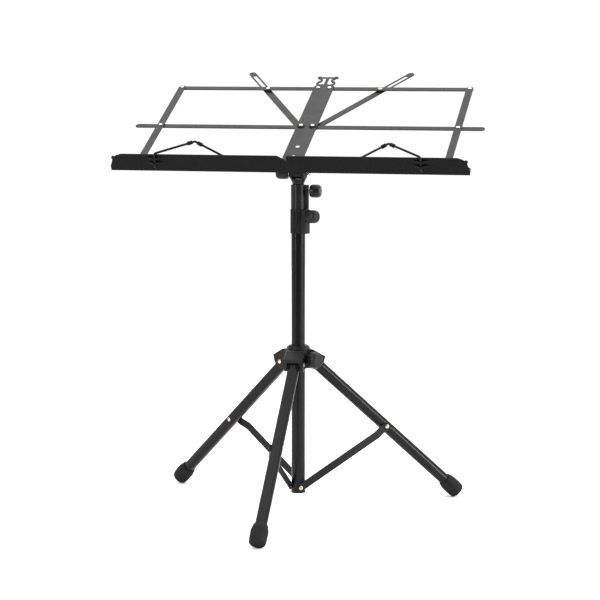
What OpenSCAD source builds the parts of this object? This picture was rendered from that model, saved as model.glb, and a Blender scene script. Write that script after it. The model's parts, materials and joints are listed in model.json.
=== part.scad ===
/* [Column] */
// Outer diameter of the lower tube
lower_od = 19; // [18:0.5:20]
// Outer diameter of the middle tube
mid_od = 16; // [15.5:0.1:16]
// Outer diameter of the inner rod
rod_od = 13; // [12.5:0.1:13]
// Height of the open bottom of the lower tube
column_foot = 24; // [23:1:26]
// Height of the seam between the two tube clamps
clamp_seam = 413.2; // [400:1:420]
// Height of each tube clamp
clamp_h = 32.8; // [30:0.5:36]

/* [Tripod] */
// Angle between each leg and the vertical
leg_angle = 47.4; // [44:0.2:48]
// Height of the leg pivots
pivot_z = 203; // [200:1:206]
// Distance of each leg pivot from the column axis
pivot_r = 23; // [23:0.5:25]
// Outer diameter of the leg tubes
leg_od = 16; // [15:0.5:16]
// Radius of the rubber foot at its floor end
foot_r = 10.8; // [10:0.2:12]
// Length of the rubber foot
foot_len = 28; // [26:1:32]
// Distance from the leg pivot down to the stay pivot
stay_along = 140; // [138:1:141]
// Height of the stay pivots on the column
collar_z = 30; // [29:0.5:31]
// Width of the stay strips
stay_w = 10.5; // [9:0.5:11]

/* [Desk] */
// Angle between the desk and the vertical
desk_lean = 65.7; // [60:0.1:70]
// Height of the tilt bolt
tilt_z = 462.5; // [460:0.5:466]
// Distance from the tilt bolt up the desk to the middle pivots
tilt_up = 73.4; // [72:0.2:75]
// Distance from the tilt bolt out to the front face of the spine
tilt_out = 33.7; // [33:0.2:35]
// Width of the spine plate
spine_w = 29; // [28:0.5:30]
// Half the distance between the two pivots of a pair
pair_u = 8.2; // [8:0.1:8.4]
// Distance between the middle pivots and the top pivots
upper_h = 122; // [120:1:124]
// Distance between the middle pivots and the tray pivots
lower_h = 118; // [116:1:119]
// Distance between the two pivots of each cross bar
bar_len = 201.5; // [195:0.5:205]
// Width of the folding bars
bar_w = 10; // [9:0.2:10]
// Thickness of the pressed sheet
sheet = 1.2; // [1:0.1:1.2]
// Length of the middle bar beyond its outer pivot
bar_over = 36.4; // [30:0.2:38]
// Depth of the tray ledge in front of the desk
ledge_d = 22; // [20:0.5:24]
// Half the width of the tray ledge
tray_half = 243.5; // [235:0.5:246]
// Diameter of the page wires
wire_d = 3.2; // [3:0.1:3.2]

/* [Knobs] */
// Diameter of the small clamp knobs
knob_d = 17.8; // [16:0.2:18]
// Length of the small clamp knobs
knob_l = 14.5; // [13:0.5:15]
// Diameter of the hub knob
hub_knob_d = 22; // [20:0.5:22]

/* [Hidden] */
$fn = 96;
e = 0.01;
fit = 0.05;
gap = 0.3;
black = "#2b2b2d";
steel_grey = "#56585a";
silver = "#d6d4cc";
rubber = "#1d1d1e";
wall = 1.2;
// Layers of the desk, measured along its normal from the front face of the spine
layer = sheet + gap;
bar_n = -layer;
diag_n = -4.2;
washer_t = 1.2;
washer_r = 5.25;
rivet_r = 2.8;
rivet_t = 1.1;
pin_r = 2;
slot_pin_r = 1.1;
// Desk origin: the front face of the spine, level with the middle pivots
desk_y = tilt_up * sin(desk_lean) - tilt_out * cos(desk_lean);
desk_z = tilt_z + tilt_up * cos(desk_lean) + tilt_out * sin(desk_lean);
spine_low = -125;
spine_top = 127;
flange_top = -112;
ledge_s = -131.8;
inner_gap = 0.2;
// Slot pin on the top bar and the diagonal that it runs in
pin_along = 73.7;
diag_angle = 31.75;
diag_len = 207;
slot_w = 5.6;
slot_from = 139;
slot_to = 199;
spacer_w = 8.6;
spacer_t = 2.4;
bracket_t = 2;
rivet_s = [-62.6, -91];
// Page wire: pin under the ledge, leg in front of it, and the arm back over it
wire_u = 180;
wire_s = -134.2;
wire_front = 24.2;
elbow_u = 132;
elbow_s = -97;
arm_u = 95;
arm_s = -101;
arm_n = 5.2;
tip_u = 50;
tip_s = -118;
// Clamps, tubes and screws
lower_clamp_z = clamp_seam - clamp_h;
upper_screw_z = 438;
lower_screw_z = 404;
lower_turn = -22;
screw_r = 2.5;
mid_from = 60;
rod_from = 100;
head_low = clamp_seam + clamp_h + gap;
rod_top = tilt_z - 11;
// Tripod
foot_round = 1;
foot_z = foot_r * sin(leg_angle) - foot_round * cos(leg_angle);
leg_len = (pivot_z - foot_z) / cos(leg_angle);
stay_r = pivot_r + stay_along * sin(leg_angle);
stay_z = pivot_z - stay_along * cos(leg_angle);
stay_len = sqrt(stay_r * stay_r + (stay_z - collar_z) * (stay_z - collar_z));
stay_angle = atan2(stay_z - collar_z, stay_r);
stay_t = 2;
stay_in = lower_od / 2 + 0.6;
leg_side = leg_od / 2 + 0.4;
hub_r = 15.5;
fork_gap = 17;
fork_w = 26;
knob_turn = -30;
hub_screw_z = 209;
hub_knob_at = 23.8;

module ring(r_out, r_in, h) {
  difference() {
    cylinder(r = r_out, h = h);
    translate([0, 0, -1]) cylinder(r = r_in, h = h + 2);
  }
}

// Strip along +x from a pivot at the origin, with round ends
module strip2d(len, w) {
  translate([0, -w / 2]) square([len, w]);
  circle(d = w);
  translate([len, 0]) circle(d = w);
}

// Shallow domed rivet head standing on z = 0
module head(r, t) {
  rotate_extrude() polygon([[0, 0], [r, 0], [r, t * 0.4], [r * 0.72, t * 0.85], [r * 0.3, t], [0, t]]);
}

module desk_frame() {
  translate([0, desk_y, desk_z]) rotate([90 - desk_lean, 0, 0]) children();
}

// Half of the desk: side 1 is +x, side -1 is -x
module half(side) {
  if (side > 0) children();
  else mirror([1, 0, 0]) children();
}

module leg_frame(i) {
  rotate([0, 0, -90 + 120 * (i - 1)]) children();
}

// Along each leg: +z runs down the leg from its pivot, +y to its left
module along_leg(i) {
  leg_frame(i) translate([pivot_r, 0, pivot_z]) rotate([0, 180 - leg_angle, 0]) children();
}

// Knob with a fluted grip, base at z = 0
module knob(d, l) {
  flutes = 16;
  difference() {
    rotate_extrude() polygon([[0, 0], [d * 0.4, 0], [d * 0.47, 1], [d * 0.5, l * 0.25],
      [d * 0.5, l * 0.72], [d * 0.46, l * 0.9], [d * 0.38, l], [0, l]]);
    for (k = [0 : flutes - 1]) rotate([0, 0, k * 360 / flutes])
      translate([d * 0.535, 0, -1]) cylinder(d = d * 0.1, h = l + 2, $fn = 24);
  }
}

module lower_tube() {
  color(black) difference() {
    translate([0, 0, column_foot]) ring(lower_od / 2, lower_od / 2 - wall, clamp_seam - 6 - column_foot);
    for (i = [1 : 3]) leg_frame(i) translate([0, 0, collar_z]) rotate([90, 0, 0]) cylinder(r = pin_r, h = 12);
  }
}

module bottom_plug() {
  color(black) difference() {
    union() {
      translate([0, 0, column_foot]) cylinder(r = lower_od / 2 - wall, h = 20);
      translate([0, 0, column_foot - 2]) cylinder(r = lower_od / 2 + 0.6, h = 2);
    }
    for (i = [1 : 3]) leg_frame(i) translate([0, 0, collar_z]) rotate([90, 0, 0])
      translate([0, 0, 3]) cylinder(r = pin_r, h = 12);
  }
}

module collar_pins() {
  color(silver) for (i = [1 : 3]) leg_frame(i) translate([0, 0, collar_z]) rotate([90, 0, 0]) {
    translate([0, 0, 3]) cylinder(r = pin_r, h = stay_in + stay_t + gap - 3 + e);
    translate([0, 0, stay_in + stay_t + gap]) head(rivet_r, rivet_t);
  }
}

module clamp_body(r, boss_out, boss_w, bore, fluted) {
  difference() {
    union() {
      cylinder(r = r, h = clamp_h);
      translate([0, -boss_w / 2, 0]) cube([boss_out, boss_w, clamp_h]);
    }
    translate([0, 0, -1]) cylinder(r = bore, h = clamp_h + 2);
    if (fluted) for (k = [1 : 13]) rotate([0, 0, 36 + k * 20.5])
      translate([r + 0.2, 0, -1]) cylinder(r = 1.1, h = clamp_h + 2, $fn = 24);
  }
}

module lower_clamp() {
  color(black) difference() {
    translate([0, 0, lower_clamp_z]) rotate([0, 0, lower_turn])
      clamp_body(10.75, 15.2, 11, mid_od / 2 + fit, true);
    translate([0, 0, lower_clamp_z - 1]) cylinder(r = lower_od / 2, h = clamp_seam - 6 - lower_clamp_z + 1);
    radial_screw(0, 20, screw_r + fit, lower_turn, lower_screw_z);
  }
}

module upper_clamp() {
  color(black) difference() {
    translate([0, 0, clamp_seam + 0.3]) clamp_body(10, 14.4, 5.4, rod_od / 2 + fit, false);
    translate([0, 0, clamp_seam]) cylinder(r = mid_od / 2, h = 14);
    translate([0, 0, upper_screw_z]) rotate([0, 90, 0]) cylinder(r = screw_r - 0.9 + fit, h = 20);
  }
}

// Screw body from radius a to radius b, turned to angle t at height z
module radial_screw(a, b, r, t, z) {
  translate([0, 0, z]) rotate([0, 0, t]) rotate([0, 90, 0]) translate([0, 0, a]) cylinder(r = r, h = b - a);
}

module lower_screw() {
  color(silver) radial_screw(lower_od / 2 + gap, 21, screw_r, lower_turn, lower_screw_z);
}

module upper_screw() {
  color(silver) radial_screw(rod_od / 2 + gap, 21, screw_r - 0.9, 0, upper_screw_z);
}

module lower_knob() {
  color(black) difference() {
    translate([0, 0, lower_screw_z]) rotate([0, 0, lower_turn]) rotate([0, 90, 0])
      translate([0, 0, 16.4]) knob(knob_d, knob_l);
    radial_screw(0, 21, screw_r, lower_turn, lower_screw_z);
  }
}

module upper_knob() {
  color(black) difference() {
    translate([0, 0, upper_screw_z]) rotate([0, 90, 0]) translate([0, 0, 16.7]) knob(knob_d, knob_l);
    radial_screw(0, 21, screw_r - 0.9, 0, upper_screw_z);
  }
}

module mid_tube() {
  color(black) translate([0, 0, mid_from]) ring(mid_od / 2, mid_od / 2 - wall, clamp_seam + 14 - mid_from);
}

module mid_bush() {
  color(rubber) translate([0, 0, mid_from - 12]) {
    ring(lower_od / 2 - wall - fit, mid_od / 2 - wall - 1.6, 12);
    ring(mid_od / 2 - wall, mid_od / 2 - wall - 1.6, 22);
  }
}

module rod_bush() {
  color(rubber) translate([0, 0, rod_from - 12]) {
    cylinder(r = mid_od / 2 - wall - fit, h = 12 - gap);
    cylinder(r = rod_od / 2 - wall - fit, h = 26);
  }
}

module inner_rod() {
  color(black) translate([0, 0, rod_from]) ring(rod_od / 2, rod_od / 2 - wall, rod_top - rod_from);
}

// Fork on the rod: a round neck that widens into two tines across the tilt bolt
module head_fork() {
  slot = 13.2;
  tine_r = 8.5;
  color(black) difference() {
    intersection() {
      translate([0, 0, head_low]) rotate_extrude()
        polygon([[0, 0], [7.85, 0], [8.3, 3], [12.5, 11], [12.5, 27], [0, 27]]);
      rotate([90, 0, 90]) translate([0, 0, -14]) linear_extrude(28) {
        translate([0, tilt_z]) circle(r = tine_r);
        translate([-tine_r, head_low - 1]) square([2 * tine_r, tilt_z - head_low + 1]);
      }
    }
    translate([-slot / 2, -20, tilt_z - 8.8]) cube([slot, 40, 40]);
    translate([0, 0, head_low - 1]) cylinder(r = rod_od / 2, h = rod_top - head_low + 1);
    translate([-20, 0, tilt_z]) rotate([0, 90, 0]) cylinder(r = screw_r + fit, h = 40);
  }
}

module tilt_nut() {
  color(silver) translate([12.5, 0, tilt_z]) rotate([0, 90, 0]) difference() {
    cylinder(r = 5, h = 3.4, $fn = 6);
    translate([0, 0, -1]) cylinder(r = screw_r + fit, h = 6);
  }
}

module tilt_bolt() {
  color(silver) translate([-20, 0, tilt_z]) rotate([0, 90, 0]) cylinder(r = screw_r, h = 37.5);
}

module tilt_knob() {
  color(black) difference() {
    translate([-13.5, 0, tilt_z]) rotate([0, -90, 0]) knob(18, 16.5);
    translate([-20, 0, tilt_z]) rotate([0, 90, 0]) cylinder(r = screw_r, h = 20);
  }
}

// One half of the open scroll at the top of the spine: a bulge, a waist and an eye
module scroll_side() {
  band = 3.2;
  bulge = [8, 136.6];
  bulge_r = 6.2;
  waist = [12, 146.6];
  waist_r = 6.2;
  eye = [12, 155.4];
  difference() {
    union() {
      intersection() {
        translate(bulge) circle(r = bulge_r);
        translate([bulge[0], bulge[1] - 8]) square([8, 16]);
      }
      intersection() {
        translate(waist) circle(r = waist_r);
        translate([waist[0] - 8, waist[1] - 5.2]) square([8, 14]);
      }
      translate(eye) circle(r = 3.4);
    }
    translate(bulge) circle(r = bulge_r - band);
    translate(waist) circle(r = waist_r - band);
    translate(eye) circle(r = 1.5);
  }
}

module spine_outline() {
  translate([-spine_w / 2, spine_low + 4]) square([spine_w, spine_top - spine_low - 4]);
  translate([-spine_w / 2 + 4, spine_low]) square([spine_w - 8, 8]);
  for (s = [-1, 1]) translate([s * (spine_w / 2 - 4), spine_low + 4]) circle(r = 4);
  polygon([[-spine_w / 2, spine_top - e], [spine_w / 2, spine_top - e], [9.4, 132.4], [5, 133.2],
    [-5, 133.2], [-9.4, 132.4]]);
  translate([-2.1, 130]) square([4.2, 25]);
  translate([-10.5, 153.7]) square([21, 3]);
  scroll_side();
  mirror([1, 0]) scroll_side();
}

module spine_plate() {
  color(steel_grey) desk_frame() translate([0, 0, -sheet]) linear_extrude(sheet) difference() {
    spine_outline();
    for (u = [-pair_u, pair_u], s = [0, upper_h, -lower_h]) translate([u, s]) circle(r = pin_r);
    for (s = rivet_s) translate([0, s]) circle(r = pin_r);
  }
}

module bracket_spacer() {
  color(steel_grey) desk_frame() translate([0, 0, -sheet - spacer_t]) linear_extrude(spacer_t) difference() {
    translate([-spacer_w / 2, -97]) square([spacer_w, 41]);
    for (s = rivet_s) translate([0, s]) circle(r = pin_r);
  }
}

// Saddle under the spine with two cheeks that run down to a barrel on the tilt bolt
module desk_bracket() {
  cheek_out = 6.2;
  back_n = -sheet - spacer_t;
  color(steel_grey) desk_frame() difference() {
    union() {
      translate([-cheek_out, -98, back_n - bracket_t]) cube([2 * cheek_out, 46, bracket_t]);
      for (side = [-1, 1]) translate([side > 0 ? cheek_out - bracket_t : -cheek_out, 0, 0])
        rotate([90, 0, 90]) linear_extrude(bracket_t) {
          polygon([[-98, back_n], [-52, back_n], [-52, back_n - 6], [-tilt_up + 8.6, -tilt_out + 1],
            [-tilt_up - 8.6, -tilt_out + 3], [-94, back_n - 8], [-98, back_n - 4]]);
          translate([-tilt_up, -tilt_out]) circle(r = 8.6);
        }
      translate([-cheek_out + 1, -tilt_up, -tilt_out]) rotate([0, 90, 0]) cylinder(r = 8.4, h = 2 * cheek_out - 2);
    }
    translate([-10, -tilt_up, -tilt_out]) rotate([0, 90, 0]) cylinder(r = screw_r + fit, h = 20);
    for (s = rivet_s) translate([0, s, -10]) cylinder(r = pin_r, h = 12);
  }
}

module bracket_rivets() {
  depth = sheet + spacer_t + bracket_t;
  color(silver) desk_frame() for (s = rivet_s) translate([0, s, 0]) {
    translate([0, 0, -depth - e]) cylinder(r = pin_r, h = depth + 2 * e);
    head(rivet_r, rivet_t);
    translate([0, 0, -depth]) mirror([0, 0, 1]) head(rivet_r, rivet_t);
  }
}

// Pivot pins of the spine: the middle pair also carries the diagonals
module spine_rivets() {
  color(silver) desk_frame() for (u = [-pair_u, pair_u], s = [0, upper_h, -lower_h]) {
    rear = s == 0 ? diag_n - sheet - gap : bar_n - sheet - gap;
    front = s == 0 ? washer_t : 0;
    translate([u, s, rear - e]) cylinder(r = pin_r, h = front - rear + 2 * e);
    translate([u, s, front]) head(rivet_r, rivet_t + 0.3);
    translate([u, s, rear]) mirror([0, 0, 1]) head(rivet_r, 0.8);
  }
}

module spine_washers() {
  color(rubber) desk_frame() for (u = [-pair_u, pair_u]) translate([u, 0, 0]) ring(washer_r, pin_r, washer_t);
}

// Ledge in width and depth: shaped outer end, and a shaped inner corner on the left half
module ledge_plan(side) {
  difference() {
    union() {
      translate([inner_gap, bar_n - sheet]) square([tray_half - 16 - inner_gap, ledge_d - bar_n + sheet]);
      translate([tray_half, 0]) {
        polygon([[-16.5, bar_n - sheet], [-0.4, bar_n - sheet], [0, 4], [-2.4, 9.5], [-3.4, 13.5], [-6, 17.5],
          [-10, 20], [-16.5, ledge_d]]);
        translate([-4.8, 16.4]) circle(r = 2.4);
      }
    }
    translate([tray_half - 1.4, 12.4]) circle(r = 1.6);
    if (side < 0) translate([inner_gap, ledge_d]) polygon([[-1, -8], [2.4, -5.4], [8, -2.2], [14, 1], [-1, 1]]);
  }
}

// Tray: upright flange, ledge and two ramped loops that hold the page wire's pin
module tray(side) {
  loop_r = wire_d / 2 + 0.1;
  foot = ledge_s - wire_s;
  color(black) desk_frame() half(side) {
    translate([0, 0, bar_n - sheet]) linear_extrude(sheet) difference() {
      union() {
        translate([pair_u, ledge_s]) square([tray_half - 6 - pair_u, flange_top - ledge_s]);
        translate([inner_gap, ledge_s]) square([20, 12]);
        translate([pair_u, -lower_h]) circle(r = pair_u - 1.8);
        translate([tray_half - 6, -lower_h + 1.6]) circle(r = 4.4);
        translate([tray_half - 8, ledge_s]) square([7, 11]);
      }
      for (u = [pair_u, pair_u + bar_len]) translate([u, -lower_h]) circle(r = pin_r + fit);
    }
    difference() {
      union() {
        translate([0, ledge_s, 0]) rotate([90, 0, 0]) mirror([0, 0, 1]) linear_extrude(sheet)
          ledge_plan(side);
        for (n = [8, 15]) translate([wire_u, wire_s, n]) linear_extrude(3.2) {
          circle(r = loop_r + 1);
          polygon([[-10, foot + 0.4], [-10, foot - 0.6], [-2.2, -1.5], [2.2, -1.5], [10, foot - 0.6], [10, foot + 0.4]]);
        }
      }
      translate([wire_u, wire_s, 3]) cylinder(r = loop_r, h = 20);
    }
  }
}

module mid_bar(side) {
  color(steel_grey) desk_frame() half(side) translate([pair_u, 0, bar_n - sheet]) linear_extrude(sheet) difference() {
    strip2d(bar_len + bar_over - bar_w / 2, bar_w);
    for (x = [0, bar_len]) translate([x, 0]) circle(r = pin_r + fit);
  }
}

// Spacing washer behind the middle pivot and the rivet of the outer pivot
module mid_hardware(side) {
  color(silver) desk_frame() half(side) {
    translate([pair_u, 0, bar_n - sheet - washer_t]) ring(washer_r, pin_r + fit, washer_t);
    translate([pair_u + bar_len, 0, bar_n - sheet]) {
      translate([0, 0, -e]) cylinder(r = pin_r, h = 2 * sheet + 2 * gap + 2 * e);
      mirror([0, 0, 1]) head(rivet_r, 0.8);
      translate([0, 0, 2 * sheet + 2 * gap]) head(rivet_r, rivet_t);
    }
  }
}

module top_bar(side) {
  color(steel_grey) desk_frame() half(side) translate([pair_u, upper_h, bar_n - sheet]) linear_extrude(sheet)
    difference() {
      strip2d(bar_len, bar_w);
      for (x = [0, bar_len]) translate([x, 0]) circle(r = pin_r + fit);
      translate([pin_along, 0]) circle(r = slot_pin_r);
    }
}

// Pin that runs in the diagonal's slot, its head, its spacing washer and its rear head
module slot_pin(side) {
  rear = diag_n - sheet - gap;
  color(silver) desk_frame() half(side) translate([pair_u + pin_along, upper_h, 0]) {
    translate([0, 0, rear - e]) cylinder(r = slot_pin_r, h = bar_n - rear + 2 * e);
    translate([0, 0, bar_n]) head(rivet_r, rivet_t);
    translate([0, 0, bar_n - sheet - washer_t]) ring(washer_r, slot_pin_r + fit, washer_t);
    translate([0, 0, rear]) mirror([0, 0, 1]) head(4, 1.1);
  }
}

module side_bar(side) {
  color(steel_grey) desk_frame() half(side) translate([pair_u + bar_len, -lower_h, -sheet]) rotate([0, 0, 90])
    linear_extrude(sheet) difference() {
      strip2d(upper_h + lower_h, bar_w);
      for (x = [0, lower_h, upper_h + lower_h]) translate([x, 0]) circle(r = x == lower_h ? pin_r + fit : pin_r);
    }
}

module side_rivets(side) {
  rear = bar_n - sheet - gap;
  color(silver) desk_frame() half(side) for (s = [-lower_h, upper_h]) translate([pair_u + bar_len, s, 0]) {
    translate([0, 0, rear - e]) cylinder(r = pin_r, h = -rear + 2 * e);
    head(rivet_r, rivet_t);
    translate([0, 0, rear]) mirror([0, 0, 1]) head(rivet_r, 0.8);
  }
}

module diagonal(side) {
  color(steel_grey) desk_frame() half(side) translate([pair_u, 0, diag_n - sheet]) rotate([0, 0, 90 - diag_angle])
    linear_extrude(sheet) difference() {
      strip2d(diag_len, bar_w);
      circle(r = pin_r + fit);
      translate([slot_from + slot_w / 2, 0]) strip2d(slot_to - slot_from - slot_w, slot_w);
    }
}

// Straight round wire between two points, with a ball at its end
module wire(a, b) {
  d = b - a;
  len = norm(d);
  translate(a) rotate([0, acos(d[2] / len), atan2(d[1], d[0])]) cylinder(d = wire_d, h = len, $fn = 48);
  translate(b) sphere(d = wire_d + 0.04, $fn = 48);
}

module page_wire(side) {
  path = [[wire_u, wire_s, 3.6], [wire_u, wire_s, wire_front], [elbow_u, elbow_s, wire_front],
    [arm_u, arm_s, arm_n], [tip_u, tip_s, arm_n]];
  color(silver) desk_frame() half(side) for (k = [0 : len(path) - 2]) wire(path[k], path[k + 1]);
}

// Rubber sleeve on the wire from point a towards point b
module sleeve(a, b, from, len) {
  d = b - a;
  translate(a) rotate([0, acos(d[2] / norm(d)), atan2(d[1], d[0])]) translate([0, 0, from])
    ring(wire_d / 2 + 1.1, wire_d / 2, len);
}

module wire_sleeves(side) {
  elbow = [elbow_u, elbow_s, wire_front];
  color(rubber) desk_frame() half(side) {
    sleeve(elbow, [wire_u, wire_s, wire_front], 4, 7);
    sleeve(elbow, [arm_u, arm_s, arm_n], 4, 7);
  }
}

// Arm of the hub: two cheeks under a ribbed sloping web
module hub_arm() {
  ribs = 8;
  difference() {
    rotate([90, 0, 0]) translate([0, 0, -fork_w / 2]) linear_extrude(fork_w)
      polygon([[5, 197], [5, 221.5], [17.8, 221.5], [35.2, 211.5], [32.4, 202], [28.4, 195], [23.4, 193.2],
        [17, 195]]);
    for (k = [0 : ribs]) translate([20, -fork_w / 2 + 2.9 + k * 2.5, 220.3]) rotate([0, 29.9, 0])
      translate([0, -0.55, -0.9]) cube([24, 1.1, 4]);
  }
}

module fork_slot() {
  rotate([90, 0, 0]) translate([0, 0, -fork_gap / 2]) linear_extrude(fork_gap)
    polygon([[14.2, 180], [14.2, 217.5], [42, 202.4], [42, 180]]);
}

module hub() {
  color(black) difference() {
    union() {
      translate([0, 0, 196]) cylinder(r = hub_r, h = 27);
      translate([0, 0, 223]) cylinder(r = 16, h = 2.2);
      translate([0, 0, 225]) cylinder(r = 13.2, h = 2);
      for (i = [1 : 3]) leg_frame(i) hub_arm();
      translate([0, 0, hub_screw_z]) rotate([0, 0, knob_turn]) rotate([0, 90, 0]) cylinder(r = 7, h = 21);
    }
    translate([0, 0, 190]) cylinder(r = lower_od / 2 + fit, h = 40);
    for (i = [1 : 3]) leg_frame(i) {
      fork_slot();
      translate([pivot_r, 0, pivot_z]) rotate([90, 0, 0]) translate([0, 0, -20]) cylinder(r = pin_r, h = 40);
    }
    radial_screw(0, 30, screw_r + fit, knob_turn, hub_screw_z);
  }
}

module hub_rivets() {
  color(silver) for (i = [1 : 3]) leg_frame(i) translate([pivot_r, 0, pivot_z]) rotate([90, 0, 0]) {
    translate([0, 0, -fork_w / 2 - e]) cylinder(r = pin_r, h = fork_w + 2 * e);
    translate([0, 0, fork_w / 2]) head(rivet_r, rivet_t);
    translate([0, 0, -fork_w / 2]) mirror([0, 0, 1]) head(rivet_r, rivet_t);
  }
}

module hub_screw() {
  color(silver) radial_screw(lower_od / 2 + gap, 30, screw_r, knob_turn, hub_screw_z);
}

module hub_knob() {
  color(black) difference() {
    translate([0, 0, hub_screw_z]) rotate([0, 0, knob_turn]) rotate([0, 90, 0])
      translate([0, 0, hub_knob_at]) knob(hub_knob_d, 14);
    radial_screw(0, 30, screw_r, knob_turn, hub_screw_z);
  }
}

// Leg tube with a closed round lug at its pivot and a shallow dimple above its foot
module leg_tube(i) {
  r = leg_od / 2;
  dimple_up = 20;
  color(black) along_leg(i) difference() {
    union() {
      rotate([90, 0, 0]) translate([0, 0, -r + 0.4]) cylinder(r = r, h = 2 * r - 0.8);
      cylinder(r = r, h = leg_len - 3);
    }
    translate([0, 0, r + 2]) cylinder(r = r - wall, h = leg_len);
    rotate([90, 0, 0]) translate([0, 0, -20]) cylinder(r = pin_r + fit, h = 40);
    translate([0, 0, stay_along]) rotate([-90, 0, 0]) cylinder(r = pin_r, h = 20);
    translate([-r - 1, 0, leg_len - foot_len - dimple_up]) rotate([0, 90, 0]) cylinder(r = 1.2, h = 1.6);
  }
}

// Barrel-shaped rubber foot with fine ribs round its widest part
module leg_foot(i) {
  r = leg_od / 2;
  belly = r + 3.7;
  color(rubber) along_leg(i) translate([0, 0, leg_len - foot_len]) difference() {
    rotate_extrude() polygon(concat([[0, 0], [r + 1.4, 0], [r + 1.8, 1.2], [r + 3.2, 6.2]],
      [for (k = [0 : 4], p = [[0, 0], [0.5, -0.4], [1, 0]]) [belly + p[1], 9 + k * 2.4 + p[0]]],
      [[belly - 0.2, 22], [foot_r, foot_len - foot_round], [foot_r - foot_round, foot_len], [0, foot_len]]));
    translate([0, 0, -1]) cylinder(r = r, h = foot_len - 2);
  }
}

module leg_rivet(i) {
  color(silver) along_leg(i) translate([0, 0, stay_along]) rotate([-90, 0, 0]) {
    translate([0, 0, leg_od / 2 - 2]) cylinder(r = pin_r, h = 2 + e);
    translate([0, 0, leg_od / 2]) head(rivet_r, rivet_t);
  }
}

// Stay: pressed strip on the clockwise side of its leg, and the rivet that pins it to the leg
module stay(i) {
  bend = 20;
  out = 3.2;
  color(steel_grey) leg_frame(i) translate([0, 0, collar_z]) rotate([0, -stay_angle, 0]) mirror([0, 1, 0]) {
    difference() {
      intersection() {
        translate([0, 0, -stay_w / 2]) linear_extrude(stay_w) polygon([[-9, stay_in], [9, stay_in],
          [stay_len - bend, stay_in + out], [stay_len - bend + 11, leg_side], [stay_len + 9, leg_side],
          [stay_len + 9, leg_side + stay_t], [stay_len - bend + 11.6, leg_side + stay_t],
          [stay_len - bend + 0.6, stay_in + out + stay_t], [9, stay_in + stay_t], [-9, stay_in + stay_t]]);
        translate([0, 30, 0]) rotate([90, 0, 0]) linear_extrude(30) strip2d(stay_len, stay_w);
      }
      rotate([-90, 0, 0]) cylinder(r = pin_r + fit, h = 30);
      translate([stay_len, 0, 0]) rotate([-90, 0, 0]) cylinder(r = pin_r, h = 30);
    }
  }
  color(silver) leg_frame(i) translate([0, 0, collar_z]) rotate([0, -stay_angle, 0]) mirror([0, 1, 0])
    translate([stay_len, 0, 0]) rotate([-90, 0, 0]) {
      translate([0, 0, leg_side]) cylinder(r = pin_r, h = stay_t + e);
      translate([0, 0, leg_side + stay_t]) head(rivet_r, rivet_t);
    }
}

lower_tube();
bottom_plug();
collar_pins();
lower_clamp();
lower_knob();
lower_screw();
mid_tube();
mid_bush();
upper_clamp();
upper_knob();
upper_screw();
rod_bush();
inner_rod();
head_fork();
tilt_nut();
tilt_knob();
tilt_bolt();
spine_plate();
desk_bracket();
bracket_spacer();
bracket_rivets();
spine_rivets();
spine_washers();
tray(-1);  // tray_l
tray(1);  // tray_r
mid_bar(-1);  // mid_bar_l
mid_bar(1);  // mid_bar_r
mid_hardware(-1);  // mid_hardware_l
mid_hardware(1);  // mid_hardware_r
top_bar(-1);  // top_bar_l
top_bar(1);  // top_bar_r
slot_pin(-1);  // slot_pin_l
slot_pin(1);  // slot_pin_r
side_bar(-1);  // side_bar_l
side_bar(1);  // side_bar_r
side_rivets(-1);  // side_rivets_l
side_rivets(1);  // side_rivets_r
diagonal(-1);  // diagonal_l
diagonal(1);  // diagonal_r
page_wire(-1);  // page_wire_l
page_wire(1);  // page_wire_r
wire_sleeves(-1);  // wire_sleeves_l
wire_sleeves(1);  // wire_sleeves_r
hub();
hub_rivets();
hub_knob();
hub_screw();
leg_tube(1);  // leg_tube_1
leg_tube(2);  // leg_tube_2
leg_tube(3);  // leg_tube_3
leg_foot(1);  // leg_foot_1
leg_foot(2);  // leg_foot_2
leg_foot(3);  // leg_foot_3
leg_rivet(1);  // leg_rivet_1
leg_rivet(2);  // leg_rivet_2
leg_rivet(3);  // leg_rivet_3
stay(1);  // stay_1
stay(2);  // stay_2
stay(3);  // stay_3
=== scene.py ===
import json
import math

import bmesh
import bpy
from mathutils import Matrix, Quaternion, Vector


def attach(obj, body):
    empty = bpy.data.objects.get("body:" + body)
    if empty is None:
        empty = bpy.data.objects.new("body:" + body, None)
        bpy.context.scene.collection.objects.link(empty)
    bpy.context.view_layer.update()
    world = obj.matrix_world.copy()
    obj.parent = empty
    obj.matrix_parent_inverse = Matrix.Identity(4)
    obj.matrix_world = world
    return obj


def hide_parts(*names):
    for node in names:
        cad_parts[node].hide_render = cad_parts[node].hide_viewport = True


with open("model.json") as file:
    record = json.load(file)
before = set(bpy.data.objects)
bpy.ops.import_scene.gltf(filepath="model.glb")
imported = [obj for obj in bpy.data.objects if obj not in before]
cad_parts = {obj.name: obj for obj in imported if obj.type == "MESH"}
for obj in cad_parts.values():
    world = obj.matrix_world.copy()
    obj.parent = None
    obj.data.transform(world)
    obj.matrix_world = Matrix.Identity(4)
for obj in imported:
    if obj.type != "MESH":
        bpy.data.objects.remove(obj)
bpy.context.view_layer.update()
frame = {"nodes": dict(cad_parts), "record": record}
MM = 0.001

# Tripod, as in the CAD part: the leg's angle and pivot, and the stay's pivot down the leg
LEG_ANGLE = math.radians(47.4)
LEG_PIVOT_R = 23 * MM
LEG_PIVOT_Z = 203 * MM
STAY_ALONG = 140 * MM
# The head of the stay's rivet lies beyond this distance beside the leg, and within this of its axis
STAY_FACE = 10.45 * MM
RIVET_REACH = 3.2 * MM

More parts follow.
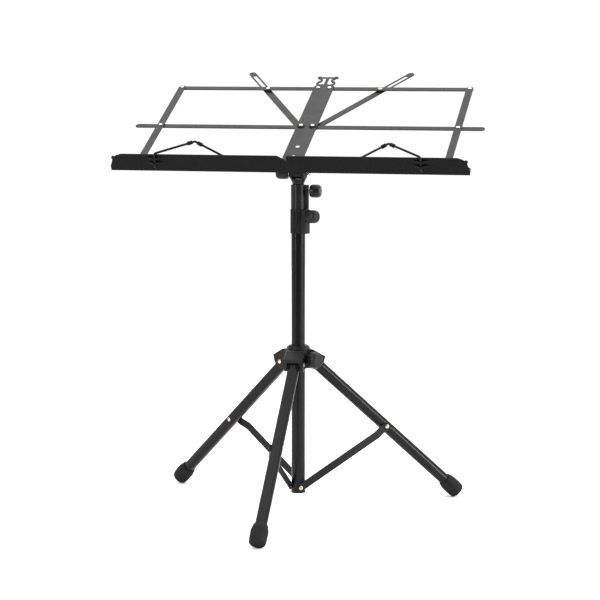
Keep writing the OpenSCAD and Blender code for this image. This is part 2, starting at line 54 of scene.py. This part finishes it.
# Desk, as in the CAD part: its lean, the tilt bolt, and the way up and out from the bolt to its
# origin, which is on the spine's front face between the middle pivots
DESK_LEAN = math.radians(65.7)
TILT = Vector((0, 0, 462.5)) * MM
TILT_UP = 73.4 * MM
TILT_OUT = 33.7 * MM
UP = Vector((0, math.sin(DESK_LEAN), math.cos(DESK_LEAN)))
OUT = Vector((0, -math.cos(DESK_LEAN), math.sin(DESK_LEAN)))
DESK_ORIGIN = TILT + UP * TILT_UP + OUT * TILT_OUT

# Page wire, 3.2 mm thick: its corners from the pin's back end to the tip, given in millimetres
# across, up and out from the desk's origin
WIRE_RADIUS = 1.6 * MM
WIRE_BEND = 4 * MM
WIRE_POINTS = (
    (180, -134.2, 2.2), (180, -134.2, 24.2),
    (132, -97, 24.2), (95, -101, 5.2), (50, -118, 5.2))


# ---------------------------------------------------------------- shader helpers

class Shader:
    """A material's node tree, with short calls for the nodes that it uses."""

    def __init__(self, name):
        self.mat = bpy.data.materials.new(name)
        self.mat.use_nodes = True
        self.tree = self.mat.node_tree
        self.bsdf = self.tree.nodes["Principled BSDF"]
        self.coord = self.tree.nodes.new("ShaderNodeTexCoord").outputs["Object"]

    def node(self, kind, **values):
        made = self.tree.nodes.new("ShaderNode" + kind)
        for key, value in values.items():
            setattr(made, key, value)
        return made

    def link(self, output, target):
        self.tree.links.new(output, target)

    def noise(self, scale, detail=4.0, stretch=(1, 1, 1)):
        mapping = self.node("Mapping")
        mapping.inputs["Scale"].default_value = stretch
        self.link(self.coord, mapping.inputs["Vector"])
        made = self.node("TexNoise")
        made.inputs["Scale"].default_value = scale
        made.inputs["Detail"].default_value = detail
        self.link(mapping.outputs["Vector"], made.inputs["Vector"])
        return made.outputs["Fac"]

    def span(self, value, low, high, to_low, to_high):
        made = self.node("MapRange")
        limits = (("From Min", low), ("From Max", high), ("To Min", to_low), ("To Max", to_high))
        for name, number in limits:
            made.inputs[name].default_value = number
        self.link(value, made.inputs["Value"])
        return made.outputs["Result"]

    def mix(self, factor, a, b):
        made = self.node("Mix", data_type="RGBA")
        for name, value in (("Factor", factor), ("A", a), ("B", b)):
            socket = made.inputs[name]
            if isinstance(value, tuple):
                socket.default_value = value + (1,)
            else:
                self.link(value, socket)
        return made.outputs["Result"]

    def bump(self, heights):
        """Chains bumps: each height is (value, distance, strength)."""
        normal = None
        for value, distance, strength in heights:
            made = self.node("Bump")
            made.inputs["Distance"].default_value = distance
            made.inputs["Strength"].default_value = strength
            self.link(value, made.inputs["Height"])
            if normal:
                self.link(normal, made.inputs["Normal"])
            normal = made.outputs["Normal"]
        self.link(normal, self.bsdf.inputs["Normal"])

    def set(self, **values):
        for key, value in values.items():
            socket = self.bsdf.inputs[key.replace("_", " ")]
            if isinstance(value, (int, float)):
                socket.default_value = value
            elif isinstance(value, tuple):
                socket.default_value = value + (1,)
            else:
                self.link(value, socket)
        return self.mat


def enamel():
    """Glossy black enamel on drawn tube: long faint draw lines and a little orange peel."""
    s = Shader("black_enamel")
    cloud = s.noise(60, 3)
    draw = s.noise(700, 2, (1, 1, 0.02))
    peel = s.noise(900, 1)
    scuff = s.span(s.noise(140, 6, (1, 1, 0.25)), 0.62, 0.80, 0, 0.15)
    color = s.mix(scuff, (0.0045, 0.0045, 0.005), (0.018, 0.018, 0.019))
    s.bump([(draw, 0.00002, 0.12), (peel, 0.00002, 0.10)])
    rough = s.span(cloud, 0.3, 0.7, 0.20, 0.27)
    return s.set(Base_Color=color, Roughness=rough, Specular_IOR_Level=0.15)


def coated_steel(name, dark, light, rough_low, rough_high, gloss):
    """Baked satin coating on pressed sheet, with faint clouding and pale specks."""
    s = Shader(name)
    grain = s.noise(2600, 2)
    cloud = s.noise(45, 5)
    color = s.mix(s.span(cloud, 0.35, 0.65, 0, 1), dark, light)
    speck = s.span(s.noise(1500, 2), 0.68, 0.76, 0, 0.5)
    color = s.mix(speck, color, tuple(min(1.0, 1.7 * c) for c in light))
    s.bump([(grain, 0.00003, 0.25), (cloud, 0.0002, 0.06)])
    rough = s.span(cloud, 0.3, 0.7, rough_low, rough_high)
    return s.set(Base_Color=color, Roughness=rough, Specular_IOR_Level=gloss)


def moulded_plastic():
    """Black moulded plastic with a fine spark-eroded grain and soft sheen."""
    s = Shader("moulded_plastic")
    grain = s.noise(3200, 2)
    flow = s.noise(90, 3, (1, 1, 0.4))
    color = s.mix(s.span(flow, 0.35, 0.65, 0, 1), (0.0050, 0.0050, 0.0054), (0.0085, 0.0085, 0.0089))
    s.bump([(grain, 0.00004, 0.35), (flow, 0.0002, 0.08)])
    rough = s.span(flow, 0.3, 0.7, 0.30, 0.42)
    return s.set(Base_Color=color, Roughness=rough, Specular_IOR_Level=0.18)


def rubber():
    """Matt black rubber with a faint grey bloom."""
    s = Shader("rubber_black")
    grain = s.noise(1800, 3)
    bloom = s.noise(70, 4)
    color = s.mix(s.span(bloom, 0.40, 0.70, 0, 1), (0.0055, 0.0055, 0.0055), (0.0095, 0.0095, 0.0095))
    s.bump([(grain, 0.00008, 0.5)])
    rough = s.span(bloom, 0.3, 0.7, 0.55, 0.72)
    return s.set(Base_Color=color, Roughness=rough, Specular_IOR_Level=0.12)


def plated():
    """Bright warm plating with fine handling scratches."""
    s = Shader("plated_steel")
    scratch = s.noise(1400, 3, (1, 0.08, 1))
    tarnish = s.noise(160, 4)
    color = s.mix(s.span(tarnish, 0.35, 0.70, 0, 1), (0.56, 0.51, 0.43), (0.42, 0.38, 0.32))
    s.bump([(scratch, 0.00003, 0.35)])
    rough = s.span(tarnish, 0.3, 0.7, 0.26, 0.40)
    return s.set(Base_Color=color, Roughness=rough, Metallic=1.0)


def floor_paper():
    """Plain pale studio paper."""
    s = Shader("studio_paper")
    fibre = s.noise(600, 3)
    color = s.mix(s.span(s.noise(3, 2), 0.3, 0.7, 0, 1), (0.90, 0.90, 0.90), (0.92, 0.92, 0.92))
    s.bump([(fibre, 0.0001, 0.05)])
    return s.set(Base_Color=color, Roughness=0.85, Specular_IOR_Level=0.1)


LOOKS = {
    "enamel": enamel(),
    "sheet_steel": coated_steel(
        "sheet_coating", dark=(0.0075, 0.0077, 0.0079), light=(0.0112, 0.0114, 0.0116),
        rough_low=0.38, rough_high=0.50, gloss=0.12),
    # The tray has the same black coating as the sheet; its darker colours here are painted shade, for
    # its face turns down and away from the light.
    "tray_steel": coated_steel(
        "tray_coating_painted_shade", dark=(0.0030, 0.0030, 0.0032), light=(0.0048, 0.0048, 0.0050),
        rough_low=0.36, rough_high=0.46, gloss=0.08),
    "black_plastic": moulded_plastic(),
    "rubber": rubber(),
    "plated": plated(),
}


# ---------------------------------------------------------------- mesh helpers

# Points closer than this are one point, and faces within this many degrees of flat are one face
WELD = 0.002 * MM
FLAT_WITHIN = 0.4
# Edges below the first angle, in degrees, look smooth, and those above the second get an eased edge
SMOOTH_BELOW = 30
EASE_ABOVE = 32


def show(piece, material):
    """Puts an object in the scene with one material."""
    bpy.context.scene.collection.objects.link(piece)
    piece.data.materials.clear()
    piece.data.materials.append(material)
    return piece


def smooth_by_angle(mesh, degrees):
    """Smooth shading that keeps the edges sharper than the angle."""
    bm = bmesh.new()
    bm.from_mesh(mesh)
    limit = math.radians(degrees)
    for face in bm.faces:
        face.smooth = True
    for edge in bm.edges:
        edge.smooth = len(edge.link_faces) == 2 and edge.calc_face_angle(0.0) < limit
    bm.to_mesh(mesh)
    bm.free()


def finished(node, body, slot, radius):
    """The pressed, moulded or turned piece itself: the node's form with eased edges."""
    mesh = frame["nodes"][node].data.copy()
    bm = bmesh.new()
    bm.from_mesh(mesh)
    bmesh.ops.remove_doubles(bm, verts=bm.verts, dist=WELD)
    bmesh.ops.dissolve_limit(bm, angle_limit=math.radians(FLAT_WITHIN), verts=bm.verts, edges=bm.edges)
    bmesh.ops.recalc_face_normals(bm, faces=bm.faces)
    bm.to_mesh(mesh)
    bm.free()
    piece = show(bpy.data.objects.new(node + "_form", mesh), LOOKS[slot])
    smooth_by_angle(mesh, SMOOTH_BELOW)
    ease = piece.modifiers.new("eased_edges", "BEVEL")
    ease.width = radius
    ease.segments = 2
    ease.limit_method = "ANGLE"
    ease.angle_limit = math.radians(EASE_ABOVE)
    ease.use_clamp_overlap = True
    ease.harden_normals = True
    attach(piece, body)
    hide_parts(node)
    return piece


def paint_parts(piece, small_slot, large_slot, limit):
    """Gives the loose parts of a piece two looks: below and above the size limit."""
    mesh = piece.data
    mesh.materials.clear()
    mesh.materials.append(LOOKS[large_slot])
    mesh.materials.append(LOOKS[small_slot])
    bm = bmesh.new()
    bm.from_mesh(mesh)
    unseen = set(bm.faces)
    while unseen:
        part = [unseen.pop()]
        for face in part:
            for edge in face.edges:
                for near in edge.link_faces:
                    if near in unseen:
                        unseen.remove(near)
                        part.append(near)
        places = [vert.co for face in part for vert in face.verts]
        middle = sum(places, Vector()) / len(places)
        reach = 2 * max((place - middle).length for place in places)
        for face in part:
            face.material_index = 1 if reach < limit else 0
    bm.to_mesh(mesh)
    bm.free()


def paint_stay_rivet(piece, number):
    """Plates the head of the rivet that pins a stay to its leg."""
    turn = math.radians(-90 + 120 * (number - 1))
    outward = Vector((math.cos(turn), math.sin(turn), 0))
    across = Vector((math.sin(turn), -math.cos(turn), 0))
    out = LEG_PIVOT_R + STAY_ALONG * math.sin(LEG_ANGLE)
    up = LEG_PIVOT_Z - STAY_ALONG * math.cos(LEG_ANGLE)
    pivot = outward * out + Vector((0, 0, up))
    piece.data.materials.append(LOOKS["plated"])
    for face in piece.data.polygons:
        offset = face.center - pivot
        beside = offset.dot(across)
        if beside > STAY_FACE and (offset - across * beside).length < RIVET_REACH:
            face.material_index = 1


def body_of(node):
    for body, members in frame["record"]["behaviour"]["bodies"].items():
        if node in members:
            return body
    raise KeyError(node)


def slot_of(node):
    for entry in frame["record"]["subparts"]:
        if entry["node"] == node:
            return entry["material_slot"]
    raise KeyError(node)


# ---------------------------------------------------------------- the pieces

EASE = {"enamel": 0.4 * MM, "sheet_steel": 0.25 * MM, "tray_steel": 0.25 * MM,
        "black_plastic": 0.5 * MM, "rubber": 0.3 * MM, "plated": 0.15 * MM}
OWN_SHAPE = ["page_wire_l", "page_wire_r"]
# Loose parts of the pins below this size are plated rivets, and larger ones are black washers
WASHER_SIZE = 9.6 * MM

for name in frame["nodes"]:
    if name not in OWN_SHAPE:
        made = finished(name, body_of(name), slot_of(name), EASE[slot_of(name)])
        if name.startswith("stay"):
            paint_stay_rivet(made, int(name[-1]))
        if name.startswith(("mid_hardware", "slot_pin")):
            paint_parts(made, "plated", "rubber", WASHER_SIZE)


# ---------------------------------------------------------------- page wires

def on_desk(u, s, n):
    """A point given in millimetres across, up and out from the spine's front face."""
    return DESK_ORIGIN + Vector((u * MM, 0, 0)) + UP * s * MM + OUT * n * MM


def rounded_path(points, radius, steps=8):
    """The points joined by straight runs with round corners."""
    path = [points[0]]
    for before, corner, after in zip(points, points[1:], points[2:]):
        a = (before - corner).normalized()
        b = (after - corner).normalized()
        half = a.angle(b) / 2
        shorter = min((before - corner).length, (after - corner).length)
        reach = min(radius / math.tan(half), 0.45 * shorter)
        centre = corner + (a + b).normalized() * reach / math.cos(half)
        start = corner + a * reach - centre
        end = corner + b * reach - centre
        turn = start.rotation_difference(end)
        for k in range(steps + 1):
            path.append(centre + Quaternion().slerp(turn, k / steps) @ start)
    path.append(points[-1])
    return path


def tube(name, path, radius, sides=20):
    """A round wire along a path, with a rounded tip at each end."""
    bm = bmesh.new()
    rings = []
    side = None
    last = len(path) - 1
    inward = (path[1] - path[0]).normalized() * radius
    outward = (path[last - 1] - path[last]).normalized() * radius
    tip_angles = (0.15, 0.6, 1.1)
    stations = [(path[0] + inward * (1 - math.cos(t)), math.sin(t), 0) for t in tip_angles]
    stations += [(p, 1.0, k) for k, p in enumerate(path)][1:-1]
    for t in reversed(tip_angles):
        stations.append((path[last] + outward * (1 - math.cos(t)), math.sin(t), last))
    for place, share, k in stations:
        ahead = path[min(k + 1, last)] - path[max(k - 1, 0)]
        ahead.normalize()
        side = side if side else ahead.orthogonal().normalized()
        side = (side - ahead * side.dot(ahead)).normalized()
        other = ahead.cross(side)
        ring = []
        for j in range(sides):
            angle = 2 * math.pi * j / sides
            spoke = side * math.cos(angle) + other * math.sin(angle)
            ring.append(bm.verts.new(place + spoke * radius * share))
        rings.append(ring)
    for a, b in zip(rings, rings[1:]):
        for j in range(sides):
            bm.faces.new((a[j], a[(j + 1) % sides], b[(j + 1) % sides], b[j]))
    bm.faces.new(list(reversed(rings[0])))
    bm.faces.new(rings[-1])
    bmesh.ops.recalc_face_normals(bm, faces=bm.faces)
    mesh = bpy.data.meshes.new(name)
    bm.to_mesh(mesh)
    bm.free()
    smooth_by_angle(mesh, 50)
    return bpy.data.objects.new(name, mesh)


def page_wire(side, letter):
    """Bent wire that holds the pages: a pin under the ledge, a leg in front and an arm back over it."""
    points = [on_desk(side * u, s, n) for u, s, n in WIRE_POINTS]
    form = tube("page_wire_form_" + letter, rounded_path(points, WIRE_BEND), WIRE_RADIUS)
    piece = show(form, LOOKS["enamel"])
    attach(piece, "page_wire_" + letter)
    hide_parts("page_wire_" + letter)


page_wire(-1, "l")
page_wire(1, "r")


# ---------------------------------------------------------------- stage, lights and camera

def floor():
    """Pale round sheet under and behind the stand, cut straight in front of it."""
    reach = 2.4
    centre_y = 0.6
    front_y = -1.0
    bm = bmesh.new()
    rim = []
    for k in range(96):
        angle = 2 * math.pi * k / 96
        y = max(front_y, centre_y + reach * math.sin(angle))
        rim.append(bm.verts.new((reach * math.cos(angle), y, 0)))
    bm.faces.new(rim)
    mesh = bpy.data.meshes.new("floor")
    bm.to_mesh(mesh)
    bm.free()
    return show(bpy.data.objects.new("floor", mesh), floor_paper())


def area_light(name, place, target, width, height, power):
    data = bpy.data.lights.new(name, "AREA")
    data.shape = "RECTANGLE"
    data.size = width
    data.size_y = height
    data.energy = power
    lamp = bpy.data.objects.new(name, data)
    bpy.context.scene.collection.objects.link(lamp)
    lamp.location = place
    lamp.rotation_euler = (Vector(target) - Vector(place)).to_track_quat("-Z", "Y").to_euler()


def camera():
    turn = math.radians(12.795)
    dip = math.radians(6.701)
    reach = 2.6984
    height = 0.6388
    data = bpy.data.cameras.new("camera")
    data.sensor_width = 36
    data.lens = 119.7
    data.shift_x = 0.0029
    data.shift_y = -0.04
    data.clip_end = 60
    eye = bpy.data.objects.new("camera", data)
    bpy.context.scene.collection.objects.link(eye)
    eye.location = (reach * math.sin(turn), -reach * math.cos(turn), height)
    eye.rotation_euler = (math.radians(90) - dip, 0, turn)
    bpy.context.scene.camera = eye


def studio_world():
    """White studio that lights less from the side the desk faces, and is seen as plain white."""
    world = bpy.data.worlds.new("studio")
    world.use_nodes = True
    tree = world.node_tree
    coord = tree.nodes.new("ShaderNodeTexCoord")
    split = tree.nodes.new("ShaderNodeSeparateXYZ")
    span = tree.nodes.new("ShaderNodeMapRange")
    for name, number in (("From Min", -0.9), ("From Max", 0.3), ("To Min", 0.02), ("To Max", 1.05)):
        span.inputs[name].default_value = number
    tree.links.new(coord.outputs["Generated"], split.inputs["Vector"])
    tree.links.new(split.outputs["Y"], span.inputs["Value"])
    path = tree.nodes.new("ShaderNodeLightPath")
    most = tree.nodes.new("ShaderNodeMath")
    most.operation = "MAXIMUM"
    tree.links.new(span.outputs["Result"], most.inputs[0])
    tree.links.new(path.outputs["Is Camera Ray"], most.inputs[1])
    tree.links.new(most.outputs["Value"], tree.nodes["Background"].inputs["Strength"])
    tree.nodes["Background"].inputs["Color"].default_value = (1, 1, 1, 1)
    bpy.context.scene.world = world


floor()
studio_world()
area_light("softbox_left", (-1.6, -2.5, 1.2), (0, 0, 0.3), width=0.26, height=2.2, power=80)
area_light("softbox_right", (2.7, -0.5, 1.2), (0, 0, 0.3), width=0.45, height=2.2, power=100)
area_light("overhead", (0, 1.0, 3.2), (0, 0.6, 0), width=6.0, height=6.0, power=230)
bpy.context.scene.view_settings.view_transform = "Standard"
camera()
